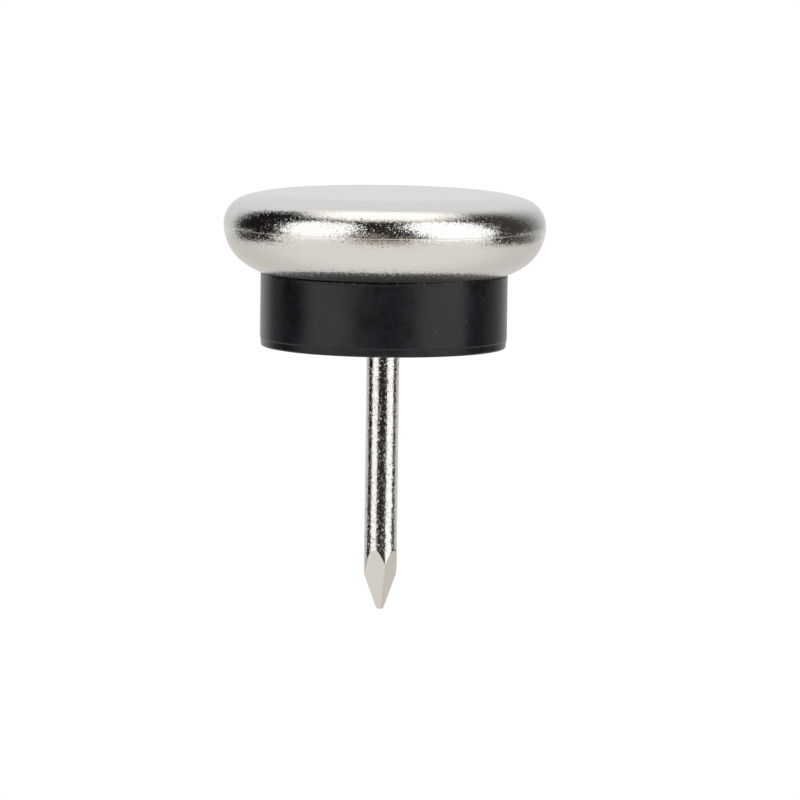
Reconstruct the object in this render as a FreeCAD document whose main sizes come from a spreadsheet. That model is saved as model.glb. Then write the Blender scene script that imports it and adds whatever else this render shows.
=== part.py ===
import FreeCAD, Part
import math
import os
import Sketcher

# Nail-on furniture glide, standing on its glide face with the nail pointing up the Z axis.
# The origin is the middle of the glide face, where the axis of the cap, cushion and nail meets the floor.

# Driving sizes in millimetres, and turns in degrees.
SIZES = (
    ("cap_diameter", 31.75, "widest circle of the cap"),
    ("sheet_thickness", 0.8, "steel sheet that the cap is pressed from"),
    ("edge_width", 5.45, "from the widest circle in to the edge of the flat glide face"),
    ("crown_radius", 11.6, "easy curve that leads off the glide face"),
    ("shoulder_radius", 2.7, "tight curve from the crown to the widest circle"),
    ("side_radius", 4.7, "curl from the widest circle towards the rim"),
    ("side_turn", 57, "angle that the side curl goes through"),
    ("lip_radius", 9.7, "flatter last stretch of the curl, up to the rim"),
    ("curl_reach", 3.62, "from the widest circle in to the rim of the cap"),
    ("rim_edge_radius", 0.15, "rounding of the rim's outer edge"),
    ("rim_gap", 0.08, "clearance between the rim and the cushion's drum"),
    ("foot_gap", 0.05, "clearance between the cushion's foot and the inside of the cap"),
    ("seat_height", 15.15, "from the glide face to the seat that bears on the furniture leg"),
    ("seat_taper", 0.12, "how far the drum draws in towards the seat"),
    ("seat_taper_height", 0.85, "height of that drawn-in band"),
    ("seat_edge_radius", 0.15, "rounding of the seat's outer edge"),
    ("nail_reach", 26.1, "from the seat to the tip of the nail"),
    ("shank_diameter", 3.25, "wire of the nail"),
    ("neck_diameter", 3.65, "wire upset under the head, inside the cushion"),
    ("neck_taper", 0.3, "length over which the neck runs down to the shank, ending at the seat"),
    ("bore_gap", 0.05, "clearance between the neck and the cushion's bore"),
    ("head_diameter", 9, "round flat head of the nail"),
    ("head_thickness", 1.2, "thickness of that head"),
    ("head_gap", 0.1, "clearance around the head in the cushion's recess"),
    ("head_room", 1, "free height under the head, which lets the cushion give"),
    ("point_length", 5.95, "from the top of a facet's arch to the tip"),
    ("facet_turn", 39, "angle that each facet faces away from the point's blunt ridges"),
    ("tip_width", 0.43, "flat left between opposite facets at the tip"),
    ("tip_edge_radius", 0.15, "rounding around the tip"),
)

FACET_PAIRS = 2
FULL_TURN = 360

# Radii and heights that several outlines share.
CAP_RADIUS = "sizes.cap_diameter / 2"
FACE_RADIUS = f"{CAP_RADIUS} - sizes.edge_width"
RIM_RADIUS = f"{CAP_RADIUS} - sizes.curl_reach"
DRUM_RADIUS = f"{RIM_RADIUS} - sizes.rim_gap"
SEAT_RADIUS = f"{DRUM_RADIUS} - sizes.seat_taper"
SHANK_RADIUS = "sizes.shank_diameter / 2"
NECK_RADIUS = "sizes.neck_diameter / 2"
HEAD_RADIUS = "sizes.head_diameter / 2"
HEAD_BOTTOM = "sizes.sheet_thickness + sizes.head_room"
HEAD_TOP = f"{HEAD_BOTTOM} + sizes.head_thickness"
TIP_HEIGHT = "sizes.seat_height + sizes.nail_reach"

# Sketcher's numbers for the places on a line or an arc, the two axes and the origin.
START, END, CENTRE = range(1, 4)
LEVEL_AXIS, UPRIGHT_AXIS = range(-1, -3, -1)
ORIGIN = (LEVEL_AXIS, START)

doc = FreeCAD.newDocument("furniture_glide")


def make_sheet():
    """Puts the driving sizes in a sheet, one row each, with the size's name as the alias."""
    sheet = doc.addObject("Spreadsheet::Sheet", "sizes")
    for row, (name, value, meaning) in enumerate(SIZES, start=1):
        sheet.set(f"A{row}", name)
        sheet.set(f"B{row}", str(value))
        sheet.set(f"C{row}", meaning)
        sheet.setAlias(f"B{row}", name)
    doc.recompute()
    return sheet


sheet = make_sheet()


def size_of(expression):
    """The number that an expression on the sheet's sizes comes to."""
    return float(sheet.evalExpression(expression))


def make_body(label):
    body = doc.addObject("PartDesign::Body", label)
    body.Label = label
    body.Placement = FreeCAD.Placement()
    return body


def origin_part(body, role):
    """One of the planes or axes of a body's own origin."""
    return next(part for part in body.Origin.OriginFeatures if part.Role == role)


def make_sketch(body, name, plane="XZ_Plane"):
    sketch = body.newObject("Sketcher::SketchObject", name)
    sketch.AttachmentSupport = [(origin_part(body, plane), "")]
    sketch.MapMode = "FlatFace"
    return sketch


def bind(sketch, kind, places, expression):
    """Adds a dimension to a sketch and ties it to the sheet."""
    value = size_of(expression)
    start_value = math.radians(value) if kind == "Angle" else value
    number = sketch.addConstraint(Sketcher.Constraint(kind, *places, start_value))
    unit = " * 1 deg" if kind == "Angle" else ""
    sketch.setExpression(f"Constraints[{number}]", f"({expression}){unit}")


def fix(sketch, kind, *places):
    sketch.addConstraint(Sketcher.Constraint(kind, *places))


def add_line(sketch, start, end):
    return sketch.addGeometry(Part.LineSegment(start, end), False)


def add_arc(sketch, centre, radius, start_angle, end_angle):
    circle = Part.Circle(centre, FreeCAD.Vector(0, 0, 1), radius)
    return sketch.addGeometry(Part.ArcOfCircle(circle, start_angle, end_angle), False)


def place_of(sketch, geometry, position):
    return sketch.getPoint(geometry, position)


def close_with_line(sketch, start_place, end_place):
    """Joins two places of a sketch with a line."""
    line = add_line(sketch, place_of(sketch, *start_place), place_of(sketch, *end_place))
    fix(sketch, "Coincident", line, START, *start_place)
    fix(sketch, "Coincident", line, END, *end_place)


def direction(angle):
    return FreeCAD.Vector(math.cos(angle), math.sin(angle), 0)


def add_cap_outline(sketch, inset, end_radius, end_round=None):
    """Draws the cap's outside moved in by inset: flat face, crown, shoulder, side and lip.

    The arcs are tangent to one another, and the lip stops at end_radius, rounded there if end_round is given.
    Returns the first and last places, at the axis and at the lip's end.
    """
    depth = size_of(inset)
    rounding = size_of(end_round) if end_round else 0
    crown, shoulder, side, lip = (
        size_of(f"sizes.{name}_radius") for name in ("crown", "shoulder", "side", "lip")
    )
    crown_turn = math.asin((size_of("sizes.edge_width") - shoulder) / (crown - shoulder))
    side_turn = math.radians(size_of("sizes.side_turn"))
    crown_centre = FreeCAD.Vector(size_of(FACE_RADIUS), crown, 0)
    shoulder_centre = crown_centre + direction(crown_turn - math.pi / 2) * (crown - shoulder)
    side_centre = shoulder_centre + direction(0) * (shoulder - side)
    lip_centre = side_centre + direction(side_turn) * (side - lip)
    lip_reach = lip - depth - rounding
    lip_turn = math.acos((size_of(end_radius) + rounding - lip_centre.x) / lip_reach)

    face_start = FreeCAD.Vector(0, depth, 0)
    face_end = FreeCAD.Vector(size_of(FACE_RADIUS), depth, 0)
    face = add_line(sketch, face_start, face_end)
    crown_arc = add_arc(sketch, crown_centre, crown - depth, -math.pi / 2, crown_turn - math.pi / 2)
    shoulder_arc = add_arc(sketch, shoulder_centre, shoulder - depth, crown_turn - math.pi / 2, 0)
    side_arc = add_arc(sketch, side_centre, side - depth, 0, side_turn)
    lip_arc = add_arc(sketch, lip_centre, lip - depth, side_turn, lip_turn)

    chain = [face, crown_arc, shoulder_arc, side_arc, lip_arc]
    if end_round:
        round_centre = lip_centre + direction(lip_turn) * lip_reach
        round_arc = add_arc(sketch, round_centre, rounding, lip_turn, math.pi)
        chain.append(round_arc)
    for before, after in zip(chain, chain[1:]):
        fix(sketch, "Tangent", before, END, after, START)
    fix(sketch, "Horizontal", face)
    if depth == 0:
        fix(sketch, "Coincident", face, START, *ORIGIN)
    else:
        fix(sketch, "PointOnObject", face, START, UPRIGHT_AXIS)
        bind(sketch, "DistanceY", (*ORIGIN, face, START), inset)
    bind(sketch, "DistanceX", (*ORIGIN, face, END), FACE_RADIUS)
    bind(sketch, "Radius", (crown_arc,), f"sizes.crown_radius - ({inset})")
    bind(sketch, "Radius", (shoulder_arc,), f"sizes.shoulder_radius - ({inset})")
    bind(sketch, "Radius", (side_arc,), f"sizes.side_radius - ({inset})")
    bind(sketch, "Radius", (lip_arc,), f"sizes.lip_radius - ({inset})")
    fix(sketch, "Horizontal", shoulder_arc, CENTRE, side_arc, CENTRE)
    bind(sketch, "DistanceX", (*ORIGIN, shoulder_arc, END), f"{CAP_RADIUS} - ({inset})")
    bind(sketch, "Angle", (side_arc,), "sizes.side_turn")
    if end_round:
        bind(sketch, "Radius", (round_arc,), end_round)
        fix(sketch, "Horizontal", round_arc, CENTRE, round_arc, END)
    bind(sketch, "DistanceX", (*ORIGIN, chain[-1], END), end_radius)
    return (face, START), (chain[-1], END)


def add_corners(sketch, corners):
    """Draws a closed outline of straight lines, each corner a pair of expressions, None on the axis."""
    places = [
        FreeCAD.Vector(size_of(across) if across else 0, size_of(up), 0)
        for across, up in corners
    ]
    lines = [add_line(sketch, places[i - 1], places[i]) for i in range(len(places))]
    for number, (across, up) in enumerate(corners):
        line = lines[number]
        fix(sketch, "Coincident", line, END, lines[(number + 1) % len(lines)], START)
        if across:
            bind(sketch, "DistanceX", (*ORIGIN, line, END), across)
        else:
            fix(sketch, "PointOnObject", line, END, UPRIGHT_AXIS)
        bind(sketch, "DistanceY", (*ORIGIN, line, END), up)


def add_circle(sketch, radius):
    """Draws a circle round the origin."""
    circle = Part.Circle(FreeCAD.Vector(), FreeCAD.Vector(0, 0, 1), size_of(radius))
    geometry = sketch.addGeometry(circle, False)
    fix(sketch, "Coincident", geometry, CENTRE, *ORIGIN)
    bind(sketch, "Radius", (geometry,), radius)


def revolve(body, sketch, name):
    """Turns a section right round the axis."""
    feature = body.newObject("PartDesign::Revolution", name)
    feature.Profile = sketch
    feature.ReferenceAxis = (sketch, ["V_Axis"])
    feature.Angle = FULL_TURN
    doc.recompute()
    return feature


def bore_up(body, name, radius, depth=None):
    """Cuts a round hole up from the floor plane, to a depth or right through."""
    sketch = make_sketch(body, f"{name}_circle", "XY_Plane")
    add_circle(sketch, radius)
    feature = body.newObject("PartDesign::Pocket", name)
    feature.Profile = sketch
    feature.Reversed = True
    if depth:
        feature.Type = "Length"
        feature.setExpression("Length", depth)
    else:
        feature.Type = "ThroughAll"
    doc.recompute()
    return feature


def round_edges(body, base, name, is_wanted, radius):
    """Rounds the edges of a feature that a test picks out."""
    edges = [f"Edge{n}" for n, edge in enumerate(base.Shape.Edges, start=1) if is_wanted(edge)]
    feature = body.newObject("PartDesign::Fillet", name)
    feature.Base = (base, edges)
    feature.setExpression("Radius", radius)
    doc.recompute()
    return feature


def is_circle(edge, radius):
    is_round = isinstance(edge.Curve, Part.Circle)
    return is_round and math.isclose(edge.Curve.Radius, size_of(radius), abs_tol=1e-4)


def make_glide_cap():
    """Pressed and curled sheet steel: one section of even thickness, turned round the axis."""
    body = make_body("glide_cap")
    section = make_sketch(body, "cap_section")
    outer_start, outer_end = add_cap_outline(section, "0", RIM_RADIUS, "sizes.rim_edge_radius")
    inner_start, inner_end = add_cap_outline(section, "sizes.sheet_thickness", RIM_RADIUS)
    close_with_line(section, outer_end, inner_end)
    close_with_line(section, inner_start, outer_start)
    revolve(body, section, "pressed_shell")
    return body


def make_cushion():
    """Moulded rubber: a foot that fills the cap, a drum through the rim and a recess for the nail."""
    body = make_body("cushion")
    section = make_sketch(body, "cushion_section")
    foot_start, foot_end = add_cap_outline(section, "sizes.sheet_thickness + sizes.foot_gap", DRUM_RADIUS)
    drum_height = "sizes.seat_height - sizes.seat_taper_height"
    drum_top = FreeCAD.Vector(size_of(DRUM_RADIUS), size_of(drum_height), 0)
    seat_edge = FreeCAD.Vector(size_of(SEAT_RADIUS), size_of("sizes.seat_height"), 0)
    seat_middle = FreeCAD.Vector(0, seat_edge.y, 0)
    drum = add_line(section, place_of(section, *foot_end), drum_top)
    taper = add_line(section, drum_top, seat_edge)
    seat = add_line(section, seat_edge, seat_middle)
    fix(section, "Coincident", drum, START, *foot_end)
    fix(section, "Coincident", taper, START, drum, END)
    fix(section, "Coincident", seat, START, taper, END)
    fix(section, "Vertical", drum)
    fix(section, "Horizontal", seat)
    fix(section, "PointOnObject", seat, END, UPRIGHT_AXIS)
    bind(section, "DistanceY", (*ORIGIN, drum, END), drum_height)
    bind(section, "DistanceX", (*ORIGIN, taper, END), SEAT_RADIUS)
    bind(section, "DistanceY", (*ORIGIN, taper, END), "sizes.seat_height")
    close_with_line(section, (seat, END), foot_start)
    moulding = revolve(body, section, "moulding")

    def is_seat_edge(edge):
        at_seat = math.isclose(edge.BoundBox.ZMin, size_of("sizes.seat_height"), abs_tol=1e-4)
        return at_seat and is_circle(edge, SEAT_RADIUS)

    round_edges(body, moulding, "seat_edge", is_seat_edge, "sizes.seat_edge_radius")
    bore_up(body, "head_recess", f"{HEAD_RADIUS} + sizes.head_gap", HEAD_TOP)
    bore_up(body, "nail_bore", f"{NECK_RADIUS} + sizes.bore_gap")
    return body


def cut_facet(body, name, turn):
    """Cuts one facet of the nail's point, turned away from the Y axis, where a blunt ridge stands."""
    half_tip = "sizes.tip_width / 2"
    # The cut's slanting side is the facet, drawn on past the wire so that it ends in the open.
    cut_length = f"sizes.point_length * (sizes.shank_diameter - {half_tip}) / ({SHANK_RADIUS} - {half_tip})"
    profile = make_sketch(body, f"{name}_profile", "YZ_Plane")
    profile.AttachmentOffset = FreeCAD.Placement(
        FreeCAD.Vector(), FreeCAD.Rotation(FreeCAD.Vector(0, 1, 0), size_of(turn))
    )
    profile.setExpression("AttachmentOffset.Rotation.Angle", f"({turn}) * 1 deg")
    add_corners(profile, (
        (half_tip, TIP_HEIGHT),
        ("sizes.shank_diameter", f"{TIP_HEIGHT} - {cut_length}"),
        ("sizes.shank_diameter", TIP_HEIGHT),
    ))
    facet = body.newObject("PartDesign::Pocket", name)
    facet.Profile = profile
    facet.Type = "ThroughAll"
    facet.SideType = "Symmetric"
    doc.recompute()
    return facet


def make_nail():
    """Upset wire with a flat head, cut to a four-sided point with two blunt and two keen ridges."""
    body = make_body("nail")
    section = make_sketch(body, "nail_section")
    add_corners(section, (
        (None, HEAD_BOTTOM),
        (HEAD_RADIUS, HEAD_BOTTOM),
        (HEAD_RADIUS, HEAD_TOP),
        (NECK_RADIUS, HEAD_TOP),
        (NECK_RADIUS, "sizes.seat_height - sizes.neck_taper"),
        (SHANK_RADIUS, "sizes.seat_height"),
        (SHANK_RADIUS, TIP_HEIGHT),
        (None, TIP_HEIGHT),
    ))
    revolve(body, section, "wire")

    left_facet = cut_facet(body, "left_facet", "sizes.facet_turn")
    right_facet = cut_facet(body, "right_facet", "-sizes.facet_turn")
    facets = body.newObject("PartDesign::PolarPattern", "facets")
    facets.Originals = [left_facet, right_facet]
    facets.Axis = (origin_part(body, "Z_Axis"), [""])
    facets.Angle = FULL_TURN
    facets.Occurrences = FACET_PAIRS
    body.Tip = facets
    doc.recompute()

    def is_tip(edge):
        return math.isclose(edge.BoundBox.ZMin, size_of(TIP_HEIGHT), abs_tol=1e-4)

    round_edges(body, facets, "tip_edge", is_tip, "sizes.tip_edge_radius")
    return body


def check_document():
    """Stops if any object of the document failed."""
    for item in doc.Objects:
        if {"Invalid", "Error"} & set(item.State):
            raise RuntimeError(f"{item.Label} failed: {item.State}")


def write_parts(bodies):
    for body in bodies:
        if body.Shape.isNull() or not body.Shape.isValid():
            raise RuntimeError(f"{body.Label} has no valid shape")
    os.makedirs("parts", exist_ok=True)
    for body in bodies:
        body.Shape.exportStep(f"parts/{body.Label}.step")
        print(body.Label, "volume", round(body.Shape.Volume, 2), "solids", len(body.Shape.Solids))


bodies = [make_glide_cap(), make_cushion(), make_nail()]
doc.recompute()
check_document()
write_parts(bodies)
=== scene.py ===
import math

import bmesh
import bpy
from mathutils import Matrix, Vector


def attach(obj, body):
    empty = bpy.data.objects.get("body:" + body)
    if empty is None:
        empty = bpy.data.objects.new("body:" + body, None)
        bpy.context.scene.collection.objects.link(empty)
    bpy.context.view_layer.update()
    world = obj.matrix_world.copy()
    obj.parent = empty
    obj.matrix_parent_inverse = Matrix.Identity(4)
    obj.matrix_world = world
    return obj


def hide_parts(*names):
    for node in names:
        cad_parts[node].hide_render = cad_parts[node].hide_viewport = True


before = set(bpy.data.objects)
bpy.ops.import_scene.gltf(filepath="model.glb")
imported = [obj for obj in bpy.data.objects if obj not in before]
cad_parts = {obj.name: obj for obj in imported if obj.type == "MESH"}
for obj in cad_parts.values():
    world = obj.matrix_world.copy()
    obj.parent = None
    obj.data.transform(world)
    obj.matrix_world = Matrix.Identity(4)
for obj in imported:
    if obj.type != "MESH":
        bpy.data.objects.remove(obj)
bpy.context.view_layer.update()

# Nail-on furniture glide: plated cap on the floor, rubber cushion in its curl, nail standing up the Z axis.
# The photograph shows it upside down, so its camera is rolled over and looks up from just below the floor.

mm = 0.001  # sizes below are in millimetres, Blender works in metres
print("frame loaded:", ", ".join(sorted(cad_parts)))


def linearColour(hexCode):
    channels = [int(hexCode[i:i + 2], 16) / 255 for i in (1, 3, 5)]
    linear = [c / 12.92 if c <= 0.04045 else ((c + 0.055) / 1.055) ** 2.4 for c in channels]
    return (*linear, 1.0)


def addNode(tree, kind, links=None, values=None, **settings):
    node = tree.nodes.new(kind)
    for name, value in settings.items():
        setattr(node, name, value)
    for name, value in (values or {}).items():
        node.inputs[name].default_value = value
    for name, source in (links or {}).items():
        tree.links.new(source, node.inputs[name])
    return node


colourA, colourB, colourOut = 6, 7, 2  # the colour sockets of a Mix node, which share names with its others


# Camera, in the photograph's place.
shot = {
    "azimuth": 17.0,  # degrees round the nail, which sets how the point's facets turn to the lens
    "below": 4.158,  # degrees under the floor, so that the glide face just shows
    "distance": 700.0,
    "lens": 320.0,  # on a 36 mm sensor
    "roll": 0.8,  # degrees that the object leans in the photograph
    "aimRight": 1.728,  # from the middle of the glide face, as the photograph shows it
    "aimDown": 20.47,
}

turn = math.radians(shot["azimuth"])
below = math.radians(shot["below"])
towardsCamera = Vector((math.sin(turn), -math.cos(turn), 0))
photoUp = Vector((0, 0, -1))
photoRight = photoUp.cross(towardsCamera)


def facing(back):
    right = photoUp.cross(back).normalized()
    return Matrix((right, back.cross(right), back)).transposed().to_4x4()


def makeCamera():
    back = towardsCamera * math.cos(below) + photoUp * math.sin(below)
    place = back * shot["distance"] * mm
    aim = (photoRight * shot["aimRight"] - photoUp * shot["aimDown"]) * mm
    data = bpy.data.cameras.new("photoCamera")
    data.lens = shot["lens"]
    camera = bpy.data.objects.new("photoCamera", data)
    lean = Matrix.Rotation(math.radians(shot["roll"]), 4, "Z")
    camera.matrix_world = Matrix.Translation(place) @ facing((place - aim).normalized()) @ lean
    bpy.context.scene.collection.objects.link(camera)
    bpy.context.scene.camera = camera


makeCamera()
print("camera placed")


# Studio: two softboxes in a darkened room with a lit ceiling, and white paper that runs from a pale wall
# over a wooden table. The softboxes leave their glare on the paper, and a block of wood stands to the front.
# Directions are in degrees right of the camera and degrees above the horizon, as the photograph stands.
studio = {
    "panels": {
        # middle right and up, width, height, degrees it leans left per degree up, colour and brightness
        "leftGlare": (-54, -13.5, 70, 13, 0.0, "#F8F4EE", 1.12),
        "rightGlare": (53, -13.5, 66, 13, 0.0, "#F8F4EE", 1.15),
        "woodBlock": (-13, 3.5, 26, 14, 0.0, "#A3978B", 1.0),
        "leftSoftbox": (-50, 19.5, 58, 60, -0.1, "#FAFCFF", 1.55),
        "rightSoftbox": (50.4, 22.5, 62.8, 69, 0.25, "#FAFCFF", 1.65),
    },
    "panelSquareness": 3,  # at two a panel is an ellipse, and its corners fill out as this goes up
    "panelEdge": (1.15, 0.85),  # where a panel fades in, one being its edge
    "ceiling": "#FFFEFC",
    "ceilingBrightness": 1.6,
    "ceilingEdge": (56.5, 81),  # where the ceiling comes up
    "ceilingHang": 0.104,  # how much lower it comes on the left and right
    "roomLeft": "#1F1C1B",
    "roomRight": "#454240",
    "roomShade": (-0.4, 0.95),  # where one turns to the other, from -1 at the left to 1 at the right
    "wallLow": "#E6E8E9",
    "wallHigh": "#FAFCFF",
    "wallShade": (0.0, 0.8),  # the same for the wall, from 0 at the horizon to 1 overhead
    "wallEdgeLeft": (-128, -140),  # where the room gives way to the wall
    "wallEdgeRight": (116, 170),
    "skirting": "#F0F0F0",
    "skirtingEdge": (107, 112),  # a pale line along the foot of the room, from the sides round to the wall
    "skirtingLow": (-8.1, -6.9),  # its lower and upper edges
    "skirtingHigh": (-4.6, -5.8),
    "wood": "#B9B0A5",
    "paper": "#FEFDFB",
    "paperBack": "#E2DFDC",
    "paperShade": (-0.3, 0.8),  # where it turns to its back colour, from -1 at the camera to 1 at the wall
    "woodFront": 8.5,  # degrees below the horizon of the table's front edge
    "paperFront": 23.0,  # and of the paper's
    "tableSide": 20.0,  # and of the left and right edges of both
    "tableBlur": (0.01, -0.03),  # how softly those edges show
    "background": "#FFFFFF",  # behind the object, for the camera alone
}


def makeWorld():
    world = bpy.data.worlds.new("studioRoom")
    world.use_nodes = True
    tree = world.node_tree
    tree.nodes.clear()
    bpy.context.scene.world = world
    upright = Matrix((photoRight, -towardsCamera, photoUp)).to_euler()
    ray = addNode(tree, "ShaderNodeTexCoord")
    turned = addNode(tree, "ShaderNodeMapping", {"Vector": ray.outputs["Generated"]}, {"Rotation": upright})
    way = addNode(tree, "ShaderNodeSeparateXYZ", {"Vector": turned.outputs["Vector"]})
    right, away, up = (way.outputs[axis] for axis in "XYZ")
    towards = addNode(tree, "ShaderNodeMath", {0: away}, {1: -1.0}, operation="MULTIPLY").outputs["Value"]
    across = addNode(tree, "ShaderNodeMath", {0: right, 1: towards}, operation="ARCTAN2").outputs["Value"]
    rise = addNode(tree, "ShaderNodeMath", {0: up}, operation="ARCSINE").outputs["Value"]
    aside = addNode(tree, "ShaderNodeMath", {0: right}, operation="ABSOLUTE").outputs["Value"]
    behind = addNode(tree, "ShaderNodeMath", {0: across}, operation="ABSOLUTE").outputs["Value"]
    hung = addNode(
        tree, "ShaderNodeMath", {0: aside, 2: up}, {1: studio["ceilingHang"]}, operation="MULTIPLY_ADD",
    ).outputs["Value"]

    # how far a ray runs above the front or side edge of the table and of the paper on it
    sideDrop = math.tan(math.radians(studio["tableSide"]))
    sideEdge = addNode(tree, "ShaderNodeMath", {0: aside}, {1: sideDrop}, operation="MULTIPLY")
    above = {}
    for sheet in ("wood", "paper"):
        frontDrop = math.tan(math.radians(studio[sheet + "Front"]))
        frontEdge = addNode(tree, "ShaderNodeMath", {0: towards}, {1: frontDrop}, operation="MULTIPLY")
        ends = {0: sideEdge.outputs["Value"], 1: frontEdge.outputs["Value"]}
        edge = addNode(tree, "ShaderNodeMath", ends, operation="MAXIMUM")
        above[sheet] = addNode(tree, "ShaderNodeMath", {0: up, 1: edge.outputs["Value"]}).outputs["Value"]

    # how far a ray passes from the middle of each panel, one at its edge
    off = {}
    for name, (middle, height, wide, high, lean, *_) in studio["panels"].items():
        over = addNode(tree, "ShaderNodeMath", {0: rise}, {1: math.radians(height)}, operation="SUBTRACT")
        beside = addNode(tree, "ShaderNodeMath", {0: across}, {1: math.radians(middle)}, operation="SUBTRACT")
        ends = {0: over.outputs["Value"], 2: beside.outputs["Value"]}
        leaned = addNode(tree, "ShaderNodeMath", ends, {1: lean}, operation="MULTIPLY_ADD")
        parts = {}
        for n, (part, size) in enumerate(((leaned, wide), (over, high))):
            half = math.radians(size / 2)
            share = addNode(tree, "ShaderNodeMath", {0: part.outputs["Value"]}, {1: half}, operation="DIVIDE")
            share = addNode(tree, "ShaderNodeMath", {0: share.outputs["Value"]}, operation="ABSOLUTE")
            share = addNode(
                tree, "ShaderNodeMath", {0: share.outputs["Value"]}, {1: studio["panelSquareness"]},
                operation="POWER",
            )
            parts[n] = share.outputs["Value"]
        off[name] = addNode(tree, "ShaderNodeMath", parts).outputs["Value"]

    shares = {}
    for name, source, start, end in (
        ("roomRight", right, *studio["roomShade"]),
        ("wallLeft", across, *map(math.radians, studio["wallEdgeLeft"])),
        ("wallRight", across, *map(math.radians, studio["wallEdgeRight"])),
        ("height", up, *studio["wallShade"]),
        ("ceiling", hung, *(math.sin(math.radians(edge)) for edge in studio["ceilingEdge"])),
        *((panel, off[panel], *studio["panelEdge"]) for panel in studio["panels"]),
        ("skirtingSide", behind, *map(math.radians, studio["skirtingEdge"])),
        ("skirtingFoot", rise, *map(math.radians, studio["skirtingLow"])),
        ("skirtingTop", rise, *map(math.radians, studio["skirtingHigh"])),
        ("wood", above["wood"], *studio["tableBlur"]),
        ("paper", above["paper"], *studio["tableBlur"]),
        ("back", away, *studio["paperShade"]),
    ):
        ends = {"From Min": start, "From Max": end}
        node = addNode(tree, "ShaderNodeMapRange", {"Value": source}, ends, interpolation_type="SMOOTHSTEP")
        shares[name] = node.outputs["Result"]
    for name, first, second, operation in (
        ("wallLow", "wallLeft", "wallRight", "ADD"),
        ("wallHigh", "wallLow", "height", "MULTIPLY"),
        ("skirtingBand", "skirtingFoot", "skirtingTop", "MULTIPLY"),
        ("skirting", "skirtingSide", "skirtingBand", "MULTIPLY"),
        ("paperBack", "paper", "back", "MULTIPLY"),
    ):
        ends = {0: shares[first], 1: shares[second]}
        shares[name] = addNode(tree, "ShaderNodeMath", ends, operation=operation).outputs["Value"]
    shares["background"] = addNode(tree, "ShaderNodeLightPath").outputs["Is Camera Ray"]

    colours = {name: linearColour(studio[name]) for name in shares if name in studio}
    colours["ceiling"] = tuple(c * studio["ceilingBrightness"] for c in colours["ceiling"])
    for name, (*_, colour, brightness) in studio["panels"].items():
        colours[name] = tuple(c * brightness for c in linearColour(colour))
    seen = None
    for name in (
        "roomRight", "wallLow", "wallHigh", "ceiling", "wood", "paper", "paperBack",
        "skirting", *studio["panels"], "background",
    ):
        links = {"Factor": shares[name]}
        values = {colourB: colours[name]}
        if seen:
            links[colourA] = seen
        else:
            values[colourA] = linearColour(studio["roomLeft"])
        seen = addNode(tree, "ShaderNodeMix", links, values, data_type="RGBA").outputs[colourOut]
    glow = addNode(tree, "ShaderNodeBackground", {"Color": seen}, {"Strength": 1.0})
    addNode(tree, "ShaderNodeOutputWorld", {"Surface": glow.outputs["Background"]})


makeWorld()
print("studio lit")


def newMaterial(name):
    material = bpy.data.materials.new(name)
    material.use_nodes = True
    material.node_tree.nodes.clear()
    return material, material.node_tree


def setMesh(name, verts, faces, material, creaseAngle):
    mesh = bpy.data.meshes.new(name)
    mesh.from_pydata([Vector(v) * mm for v in verts], [], faces)
    work = bmesh.new()
    work.from_mesh(mesh)
    bmesh.ops.recalc_face_normals(work, faces=work.faces)
    work.to_mesh(mesh)
    work.free()
    mesh.shade_smooth()
    mesh.set_sharp_from_angle(angle=math.radians(creaseAngle))
    mesh.materials.append(material)
    piece = bpy.data.objects.new(name, mesh)
    bpy.context.scene.collection.objects.link(piece)
    return piece


axisReach = 1e-6  # points nearer the axis than this lie on it


# A closed outline of (radius, height), turned round the axis. Points on the axis become single vertices.
def turnOutline(outline, segments):
    verts, rings = [], []
    for radius, height in outline:
        if radius < axisReach:
            rings.append([len(verts)] * segments)
            verts.append((0, 0, height))
            continue
        rings.append(list(range(len(verts), len(verts) + segments)))
        for k in range(segments):
            angle = 2 * math.pi * k / segments
            verts.append((radius * math.cos(angle), radius * math.sin(angle), height))
    faces = []
    for low, high in zip(rings, rings[1:] + rings[:1]):
        if low[0] == low[1] and high[0] == high[1]:
            continue
        for k in range(segments):
            j = (k + 1) % segments
            corners = [low[k], low[j], high[j], high[k]]
            faces.append([c for n, c in enumerate(corners) if c not in corners[:n]])
    return verts, faces


def arcPoints(centre, radius, start, end, steps):
    turns = [start + (end - start) * k / steps for k in range(steps + 1)]
    return [(centre[0] + radius * math.cos(t), centre[1] + radius * math.sin(t)) for t in turns]


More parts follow.
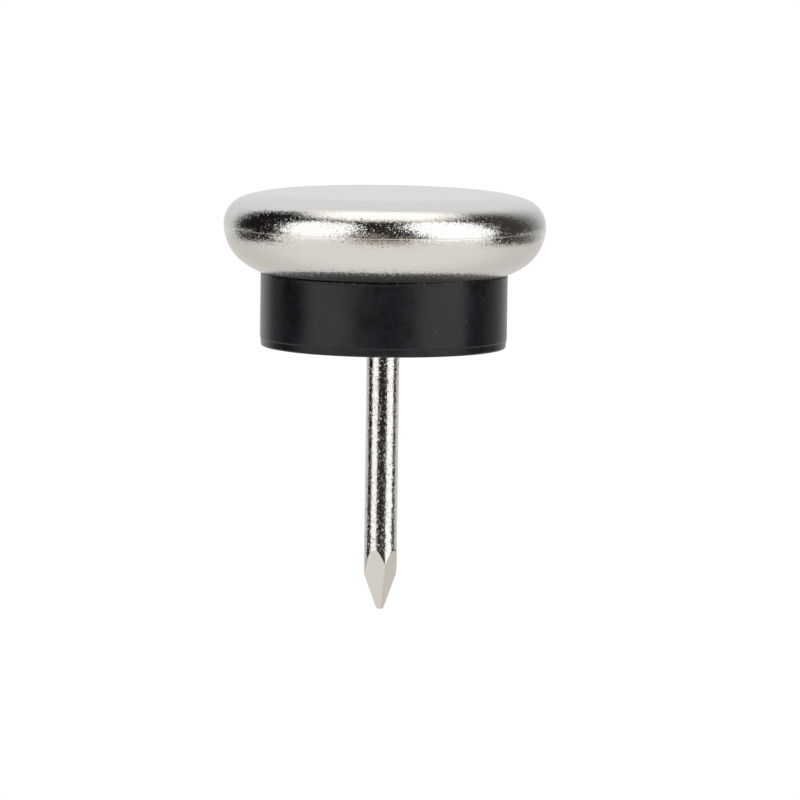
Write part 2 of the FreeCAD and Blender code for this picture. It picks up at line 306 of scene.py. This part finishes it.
# Bright nickel plate on steel: a barely warm grey mirror. The steel's crystals show through the thin plate,
# each turned a little its own way, which breaks the edges of what it mirrors into specks. They stand out most
# where the metal was stretched, and least on the flat face and the pinched point.
def makePlate(name, look):
    material, tree = newMaterial(name)
    place = addNode(tree, "ShaderNodeTexCoord").outputs["Object"]
    drawn = addNode(
        tree, "ShaderNodeMapping", {"Vector": place}, {"Scale": (1.0, 1.0, 1 / look["grainStretch"])},
    )
    crystals = addNode(
        tree, "ShaderNodeTexVoronoi", {"Vector": drawn.outputs["Vector"]},
        {"Scale": 1 / (look["grain"] * mm)},
    )
    centred = addNode(
        tree, "ShaderNodeVectorMath", {0: crystals.outputs["Color"]}, {1: (0.5, 0.5, 0.5)},
        operation="SUBTRACT",
    )
    drawnLean = addNode(
        tree, "ShaderNodeVectorMath", {0: centred.outputs["Vector"]}, {1: look["grainLean"]},
        operation="MULTIPLY",
    )
    # most crystals lie nearly flush, and a few stand well out
    chance = addNode(tree, "ShaderNodeTexWhiteNoise", {"Vector": crystals.outputs["Position"]})
    standing = addNode(
        tree, "ShaderNodeMath", {0: chance.outputs["Value"]}, {1: look["grainFlush"]}, operation="POWER",
    )
    height = addNode(tree, "ShaderNodeSeparateXYZ", {"Vector": place})
    past = addNode(
        tree, "ShaderNodeMath", {0: height.outputs["Z"]}, {1: look["stretchedAt"] * mm}, operation="SUBTRACT",
    )
    apart = addNode(tree, "ShaderNodeMath", {0: past.outputs["Value"]}, operation="ABSOLUTE")
    stretch = addNode(
        tree, "ShaderNodeMapRange", {"Value": apart.outputs["Value"]},
        {
            "From Min": look["calmReach"] * mm,
            "From Max": look["stretchedReach"] * mm,
            "To Min": look["calmShare"],
            "To Max": 1.0,
        },
    )
    stood = addNode(
        tree, "ShaderNodeMath", {0: standing.outputs["Value"], 1: stretch.outputs["Result"]},
        operation="MULTIPLY",
    )
    lean = addNode(
        tree, "ShaderNodeVectorMath", {0: drawnLean.outputs["Vector"], "Scale": stood.outputs["Value"]},
        operation="SCALE",
    )
    smooth = addNode(tree, "ShaderNodeNewGeometry")
    leaned = addNode(
        tree, "ShaderNodeVectorMath", {0: smooth.outputs["Normal"], 1: lean.outputs["Vector"]},
        operation="ADD",
    )
    faced = addNode(tree, "ShaderNodeVectorMath", {0: leaned.outputs["Vector"]}, operation="NORMALIZE")
    shader = addNode(
        tree, "ShaderNodeBsdfPrincipled", {"Normal": faced.outputs["Vector"]},
        {"Base Color": linearColour(look["tint"]), "Metallic": 1.0, "Roughness": look["roughness"]},
    )
    addNode(tree, "ShaderNodeOutputMaterial", {"Surface": shader.outputs["BSDF"]})
    return material


# Moulded black rubber: near black, with the soft sheen of a polished mould, cloudy bloom, flecks of dust, and
# painted glints of light as flecks in the groove beside the cap's rim.
rubber = {
    "colour": "#020204",
    "bloom": "#212128",
    "cloud": 2.5,  # width of a cloudy patch of bloom
    "cloudDetail": 5.0,
    "cloudRoughness": 0.9,
    "cloudRange": (0.3, 0.7),  # of the noise, from no bloom to full bloom
    "roughness": (0.22, 0.3),
    "shine": 0.3,  # less than the usual half, for soft rubber full of carbon
    "pit": 0.3,  # width of the mould's pits, wider than the real ones so that they show
    "pitDetail": 3.0,
    "pitRoughness": 0.6,
    "pitDepth": 0.006,
    # the flecks' colour, for dust and for the painted glints beside the rim
    "dustAndGlint": "#8A8A88",
    "dustSpacing": 1.6,
    "dustAndGlintSize": 0.07,  # radius of a fleck
    "dustAndGlintCore": 0.5,  # share of a fleck that is solid, before it fades out
    "rimDustAndGlintSpacing": 0.35,  # dust gathers thicker in the groove beside the cap's rim, and there the flecks are also painted glints, the beads of light along the rim
    "rimDustAndGlintReach": (0.4, 0.2),  # past the rim, where it starts and where it is thickest
}


def makeRubber(name, rimTop):
    material, tree = newMaterial(name)
    place = addNode(tree, "ShaderNodeTexCoord").outputs["Object"]
    cloud = addNode(
        tree, "ShaderNodeTexNoise", {"Vector": place},
        {
            "Scale": 1 / (rubber["cloud"] * mm),
            "Detail": rubber["cloudDetail"],
            "Roughness": rubber["cloudRoughness"],
        },
    )
    least, most = rubber["cloudRange"]
    patches = addNode(
        tree, "ShaderNodeMapRange", {"Value": cloud.outputs["Fac"]}, {"From Min": least, "From Max": most},
    ).outputs["Result"]
    bloom = addNode(
        tree, "ShaderNodeMix", {"Factor": patches},
        {colourA: linearColour(rubber["colour"]), colourB: linearColour(rubber["bloom"])}, data_type="RGBA",
    )
    flecks = {}
    for kind in ("dustSpacing", "rimDustAndGlintSpacing"):
        cells = addNode(tree, "ShaderNodeTexVoronoi", {"Vector": place}, {"Scale": 1 / (rubber[kind] * mm)})
        size = rubber["dustAndGlintSize"] / rubber[kind]
        fleck = addNode(
            tree, "ShaderNodeMapRange", {"Value": cells.outputs["Distance"]},
            {"From Min": size, "From Max": size * rubber["dustAndGlintCore"]},
        )
        flecks[kind] = fleck.outputs["Result"]
    height = addNode(tree, "ShaderNodeSeparateXYZ", {"Vector": place})
    farthest, nearest = ((rimTop + reach) * mm for reach in rubber["rimDustAndGlintReach"])
    besideRim = addNode(
        tree, "ShaderNodeMapRange", {"Value": height.outputs["Z"]},
        {"From Min": farthest, "From Max": nearest},
    )
    # the denser flecks beside the rim are dust and also painted glints, standing in for beads of light along
    # the rim
    rimDustAndGlints = addNode(
        tree, "ShaderNodeMath", {0: flecks["rimDustAndGlintSpacing"], 1: besideRim.outputs["Result"]},
        operation="MULTIPLY",
    )
    dustAndGlintShare = addNode(
        tree, "ShaderNodeMath", {0: flecks["dustSpacing"], 1: rimDustAndGlints.outputs["Value"]}, operation="MAXIMUM",
    )
    dustedAndGlinting = addNode(
        tree, "ShaderNodeMix", {"Factor": dustAndGlintShare.outputs["Value"], colourA: bloom.outputs[colourOut]},
        {colourB: linearColour(rubber["dustAndGlint"])}, data_type="RGBA",
    )
    sleek, dull = rubber["roughness"]
    sheen = addNode(tree, "ShaderNodeMapRange", {"Value": patches}, {"To Min": sleek, "To Max": dull})
    pits = addNode(
        tree, "ShaderNodeTexNoise", {"Vector": place},
        {
            "Scale": 1 / (rubber["pit"] * mm),
            "Detail": rubber["pitDetail"],
            "Roughness": rubber["pitRoughness"],
        },
    )
    skin = addNode(
        tree, "ShaderNodeBump", {"Height": pits.outputs["Fac"]},
        {"Strength": 1.0, "Distance": rubber["pitDepth"] * mm},
    )
    shader = addNode(
        tree, "ShaderNodeBsdfPrincipled",
        {
            "Base Color": dustedAndGlinting.outputs[colourOut],
            "Roughness": sheen.outputs["Result"],
            "Normal": skin.outputs["Normal"],
        },
        {"Specular IOR Level": rubber["shine"]},
    )
    addNode(tree, "ShaderNodeOutputMaterial", {"Surface": shader.outputs["BSDF"]})
    return material


cap = {
    "radius": 15.875,
    "sheet": 0.8,
    "edgeWidth": 5.45,  # from the edge of the flat face out to the widest circle
    "crown": 11.6,  # radii of the four arcs of its outline, from the flat face to the rim
    "shoulder": 2.7,
    "side": 4.7,
    "lip": 9.7,
    "sideTurn": 57,  # degrees of the side's arc, from the widest circle to the lip
    "curlReach": 3.62,  # from the widest circle in to the rim
    "rimRound": 0.15,
    "dieLine": 3.38,  # height of the fine line that the curling die left, just past the widest circle
    "dieLineWidth": 0.07,
    "dieLineDepth": 0.012,
    "dieLineTurn": 4.75,  # degrees of the side's arc that are stepped finely to hold that line
    "steps": {"crown": 24, "shoulder": 48, "dieLine": 36, "side": 60, "lip": 24, "rim": 10},
    "insideFineness": 0.3,  # share of those steps on the faces that nobody sees
    "segments": 256,
    "creaseAngle": 40,
    "look": {
        "tint": "#D6D3CE",
        "roughness": 0.11,
        "grain": 0.066,  # width of a crystal, about twice the real one, so that it shows
        "grainStretch": 1.0,
        "grainLean": (0.35, 0.35, 0.35),  # how far its face may lean along X, Y and Z
        "grainFlush": 1.2,  # the higher this is, the more crystals lie nearly flush
        "stretchedAt": 4.35,  # height of the middle of the side, where the sheet was bent most
        "stretchedReach": 3.05,  # nearer to that height than this, the crystals lean in full
        "calmReach": 4.25,  # and farther than this, by the share below
        "calmShare": 0.25,
    },
}


# The cap's outside moved in by inset, from the axis to where the lip reaches endRadius.
def capOutline(inset, endRadius, rounding=0.0, fineness=1.0):
    steps = {arc: round(count * fineness) for arc, count in cap["steps"].items()}
    crownGap = cap["crown"] - cap["shoulder"]
    crownTurn = math.asin((cap["edgeWidth"] - cap["shoulder"]) / crownGap)
    lineTurn = math.radians(cap["dieLineTurn"])
    sideTurn = math.radians(cap["sideTurn"])
    faceRadius = cap["radius"] - cap["edgeWidth"]
    crownAt = (faceRadius, cap["crown"])
    shoulderAt = (cap["radius"] - cap["shoulder"], cap["crown"] - crownGap * math.cos(crownTurn))
    sideAt = (cap["radius"] - cap["side"], shoulderAt[1])
    lipGap = cap["side"] - cap["lip"]
    lipAt = (sideAt[0] + lipGap * math.cos(sideTurn), sideAt[1] + lipGap * math.sin(sideTurn))
    lipReach = cap["lip"] - inset - rounding
    lipTurn = math.acos((endRadius + rounding - lipAt[0]) / lipReach)
    down = -math.pi / 2
    points = [(0, inset), (faceRadius / 2, inset)]
    points += arcPoints(crownAt, cap["crown"] - inset, down, down + crownTurn, steps["crown"])
    points += arcPoints(shoulderAt, cap["shoulder"] - inset, down + crownTurn, 0, steps["shoulder"])[1:]
    points += arcPoints(sideAt, cap["side"] - inset, 0, lineTurn, steps["dieLine"])[1:]
    points += arcPoints(sideAt, cap["side"] - inset, lineTurn, sideTurn, steps["side"])[1:]
    points += arcPoints(lipAt, cap["lip"] - inset, sideTurn, lipTurn, steps["lip"])[1:]
    if rounding:
        roundAt = (lipAt[0] + lipReach * math.cos(lipTurn), lipAt[1] + lipReach * math.sin(lipTurn))
        points += arcPoints(roundAt, rounding, lipTurn, math.pi, steps["rim"])[1:]
    return points


def makeCap():
    rim = cap["radius"] - cap["curlReach"]
    outside = []
    for radius, height in capOutline(0, rim, cap["rimRound"]):
        offLine = (height - cap["dieLine"]) / (cap["dieLineWidth"] / 2)
        outside.append((radius - cap["dieLineDepth"] * math.exp(-offLine * offLine), height))
    inside = capOutline(cap["sheet"], rim, fineness=cap["insideFineness"])
    verts, faces = turnOutline(outside + inside[::-1], cap["segments"])
    plate = makePlate("nickelPlatedSteel", cap["look"])
    piece = setMesh("capShell", verts, faces, plate, cap["creaseAngle"])
    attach(piece, "root")
    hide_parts("glide_cap")
    print("cap made:", len(faces), "faces")


makeCap()


cushion = {
    "rimGap": 0.08,  # between the cap's rim and the drum
    "footGap": 0.05,  # between the cap's inside and the foot
    "seatHeight": 15.15,
    "partingStep": 0.05,  # the drum is this much smaller past the line where the mould parted
    "partingHeight": 0.85,  # from that line to the seat
    "partingLine": 0.07,  # height of the slope at the step, which catches the light
    "seatTaper": 0.1,  # how far the drum draws in by the seat
    "seatRound": 0.2,
    "seatRoundSteps": 10,
    "bite": 0.12,  # depth of the groove that the cap's rim bites beside itself
    "biteWidth": 0.1,
    "biteLip": 0.03,  # height of the lip that the groove pushes up
    "grooveAt": 0.6,  # the groove's deepest line and the lip's highest, in widths of the groove past the rim
    "lipAt": 2.8,
    "bitePlaces": 3,  # how often round the rim it is deepest, and degrees of the first such place
    "biteAt": 308,
    "biteMean": 0.65,  # its mean share of the full depth
    "biteRings": range(-4, 19),  # rings of points over the groove and its lip, counted from the rim
    "biteRingStep": 1 / 3,  # of the groove's width
    "bore": 1.875,
    "recess": 4.6,
    "recessTop": 3.0,
    "segments": 256,
    "creaseAngle": 40,
}


def makeCushion():
    rim = cap["radius"] - cap["curlReach"]
    drum = rim - cushion["rimGap"]
    foot = capOutline(cap["sheet"] + cushion["footGap"], drum, fineness=cap["insideFineness"])
    foot = [p for p in foot if p[0] > cushion["recess"]]
    rimTop = max(height for radius, height in capOutline(0, rim, cap["rimRound"]))
    bitten = [rimTop + cushion["biteWidth"] * cushion["biteRingStep"] * k for k in cushion["biteRings"]]
    seat = cushion["seatHeight"]
    parting = seat - cushion["partingHeight"]
    past = (drum - cushion["partingStep"], parting + cushion["partingLine"])
    slant = math.atan2(cushion["seatTaper"] - cushion["partingStep"], seat - past[1])
    reach = cushion["seatRound"] * math.tan(math.pi / 4 - slant / 2)  # from the sharp corner to its rounding
    edgeAt = (drum - cushion["seatTaper"] - reach, seat - cushion["seatRound"])
    outline = [(cushion["recess"], foot[0][1])] + foot
    outline += [(drum, height) for height in bitten]
    # close rings on both sides of the step keep the shading of the walls straight
    outline += [(drum, parting - cushion["partingLine"]), (drum, parting), past]
    outline += [(past[0] - cushion["partingLine"] * math.tan(slant), past[1] + cushion["partingLine"])]
    outline += arcPoints(edgeAt, cushion["seatRound"], slant, math.pi / 2, cushion["seatRoundSteps"])
    outline += [(drum / 2, seat), (cushion["bore"], seat)]
    outline += [(cushion["bore"], cushion["recessTop"]), (cushion["recess"], cushion["recessTop"])]
    verts, faces = turnOutline(outline, cushion["segments"])
    wall = drum - 0.01  # only points on the drum's wall lie outside this
    for n, (x, y, z) in enumerate(verts):
        if bitten[0] < z < bitten[-1] and math.hypot(x, y) > wall:
            beyond = (z - rimTop) / cushion["biteWidth"]
            deep, out = beyond - cushion["grooveAt"], beyond - cushion["lipAt"]
            depth = cushion["bite"] * math.exp(-deep * deep) - cushion["biteLip"] * math.exp(-out * out)
            swing = math.cos(cushion["bitePlaces"] * (math.atan2(y, x) - math.radians(cushion["biteAt"])))
            depth *= cushion["biteMean"] + (1 - cushion["biteMean"]) * swing
            verts[n] = (x * (1 - depth / drum), y * (1 - depth / drum), z)
    moulding = makeRubber("mouldedBlackRubber", rimTop)
    piece = setMesh("rubberCushion", verts, faces, moulding, cushion["creaseAngle"])
    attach(piece, "root")
    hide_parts("cushion")
    print("cushion made:", len(faces), "faces")


makeCushion()


nail = {
    "tipHeight": 41.25,
    "shank": 1.625,  # radii of the shank, the neck in the cushion's bore and the head
    "neck": 1.825,
    "head": 4.5,
    "headBottom": 1.8,
    "headTop": 3.0,
    "neckTop": 14.85,
    "shankFrom": 15.15,
    "pointLength": 5.95,
    "pointLead": 0.6,  # how far before the point its close rings start
    "facetTurn": 39,  # degrees that each facet faces away from the two blunt ridges
    "facetLean": 0.1,  # a facet whose cosine to a direction is less than this doesn't cut the wire there
    "tipWidth": 0.43,
    "tipRound": 0.15,
    "tipSteps": 12,
    "edgeSoftness": 0.01,
    "segments": 256,
    "shankRings": 20,
    "ringStep": 0.05,  # between the close rings of the point
    "creaseAngle": 9,
    "look": {
        "tint": "#D2CEC8",
        "roughness": 0.07,
        "grain": 0.065,  # about twice the real width here too
        "grainStretch": 1.2,  # drawing the wire made its crystals longer than wide
        "grainLean": (0.68, 0.68, 0.08),
        "grainFlush": 2.2,
        "stretchedAt": 25.0,  # the middle of the drawn shank; the point was pinched smooth between dies
        "stretchedReach": 10.2,
        "calmReach": 11.2,
        "calmShare": 0.25,
    },
}


# The lesser of two values, eased over where they cross.
def easedLeast(a, b, ease):
    share = min(max(0.5 + 0.5 * (b - a) / ease, 0), 1)
    return b + (a - b) * share - ease * share * (1 - share)


# Four flat facets on the wire, as a distance from the axis.
def pointRadius(angle, height):
    facet = nail["tipWidth"] / 2
    facet += (nail["tipHeight"] - height) * (nail["shank"] - facet) / nail["pointLength"]
    radius = nail["shank"]
    for ridge in (90, 270):
        for side in (-1, 1):
            lean = math.cos(angle - math.radians(ridge + side * nail["facetTurn"]))
            if lean > nail["facetLean"]:
                radius = easedLeast(radius, facet / lean, nail["edgeSoftness"])
    return radius


def makeNail():
    outline = [(0, nail["headBottom"]), (nail["head"], nail["headBottom"]), (nail["head"], nail["headTop"])]
    outline += [(nail["neck"], nail["headTop"]), (nail["neck"], nail["neckTop"])]
    pointFrom = nail["tipHeight"] - nail["pointLength"] - nail["pointLead"]
    roundFrom = nail["tipHeight"] - nail["tipRound"]
    pointRings = math.ceil((roundFrom - pointFrom) / nail["ringStep"])
    for start, end, rings in (
        (nail["shankFrom"], pointFrom, nail["shankRings"]),
        (pointFrom, roundFrom, pointRings),
    ):
        outline += [(nail["shank"], start + (end - start) * k / rings) for k in range(rings)]
    rounding = arcPoints((0, roundFrom), nail["tipRound"], 0, math.pi / 2, nail["tipSteps"])
    outline += [(nail["shank"], height) for radius, height in rounding] + [(0, nail["tipHeight"])]
    verts, faces = turnOutline(outline, nail["segments"])
    drawIn = {height: nail["tipRound"] - radius for radius, height in rounding}
    for n, (x, y, z) in enumerate(verts):
        if z >= pointFrom and (x or y):
            angle = math.atan2(y, x)
            radius = pointRadius(angle, z) - drawIn.get(z, 0)
            verts[n] = (radius * math.cos(angle), radius * math.sin(angle), z)
    plate = makePlate("nickelPlatedWire", nail["look"])
    piece = setMesh("wireNail", verts, faces, plate, nail["creaseAngle"])
    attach(piece, "root")
    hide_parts("nail")
    print("nail made:", len(faces), "faces")


makeNail()


# Painted board, matt and pale. Only the camera sees it, and only from above, so it neither lights the object
# nor stands in the photograph's view from below.
floor = {
    "colour": "#F4F4F3",
    "half": 3000.0,
    "drop": 0.02,  # just under the glide face
}


def makeFloor():
    material, tree = newMaterial("mattPaintedBoard")
    side = addNode(tree, "ShaderNodeNewGeometry")
    paint = addNode(tree, "ShaderNodeBsdfDiffuse", {}, {"Color": linearColour(floor["colour"])})
    clear = addNode(tree, "ShaderNodeBsdfTransparent")
    shown = addNode(
        tree, "ShaderNodeMixShader",
        {0: side.outputs["Backfacing"], 1: paint.outputs["BSDF"], 2: clear.outputs["BSDF"]},
    )
    addNode(tree, "ShaderNodeOutputMaterial", {"Surface": shown.outputs["Shader"]})
    half, level = floor["half"], -floor["drop"]
    corners = [(-half, -half, level), (half, -half, level), (half, half, level), (-half, half, level)]
    mesh = bpy.data.meshes.new("paintedBoard")
    mesh.from_pydata([Vector(c) * mm for c in corners], [], [(0, 1, 2, 3)])
    mesh.materials.append(material)
    board = bpy.data.objects.new("paintedBoard", mesh)
    for sight in ("diffuse", "glossy", "transmission", "volume_scatter", "shadow"):
        setattr(board, "visible_" + sight, False)
    bpy.context.scene.collection.objects.link(board)


makeFloor()
print("floor laid")

bpy.context.scene.view_settings.view_transform = "Standard"
